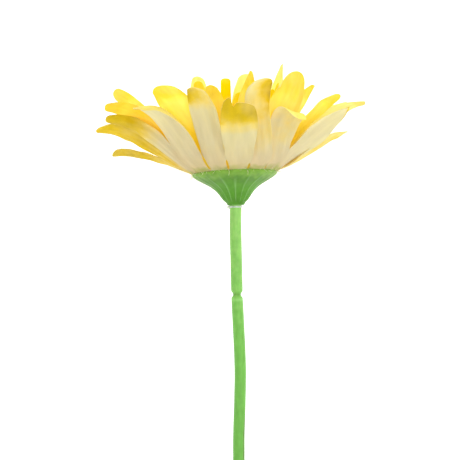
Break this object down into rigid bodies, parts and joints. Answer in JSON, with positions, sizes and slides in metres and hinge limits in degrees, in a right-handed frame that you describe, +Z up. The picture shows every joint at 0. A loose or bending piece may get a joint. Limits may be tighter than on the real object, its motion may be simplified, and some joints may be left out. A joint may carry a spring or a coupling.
{
  "type": "artificial gerbera daisy",
  "caption": "Artificial gerbera daisy lying on its side: rings of cream and yellow cloth petals round a domed floret centre, in a fluted green calyx on a moulded stem",
  "frame": {"origin": "middle of the bounding box on the table's surface, where the flower lies", "axes": "+Z up from the table, +Y from the cut end of the stem to the bloom, +X to the right seen from the stem's side"},
  "size_m": [0.1122, 0.2144, 0.0943],
  "materials": {
    "stem": "fresh green moulded polyethylene with a soft sheen",
    "stem_wire": "plain drawn steel wire, seen only at the cut end",
    "glue": "clear to milky hot-melt glue",
    "calyx": "mid green moulded polyethylene, fluted, lighter on its ribs",
    "petals_outer": "stiffened polyester cloth, cream outside with olive yellow tips, yellow inside",
    "petals_middle": "stiffened polyester cloth, bright yellow",
    "petals_inner": "stiffened polyester cloth, deep yellow",
    "fringe": "polyester cloth cut into narrow strips, yellow",
    "flower_centre": "moulded florets, olive green to yellow, matt"
  },
  "bodies": {
    "root": {"stem": "stem", "stem_wire": "stem_wire", "glue_bead": "glue", "calyx": "calyx", "petals_outer": "petals_outer", "petals_middle": "petals_middle", "petals_inner": "petals_inner", "fringe": "fringe", "flower_centre": "flower_centre"}
  },
  "joints": []
}
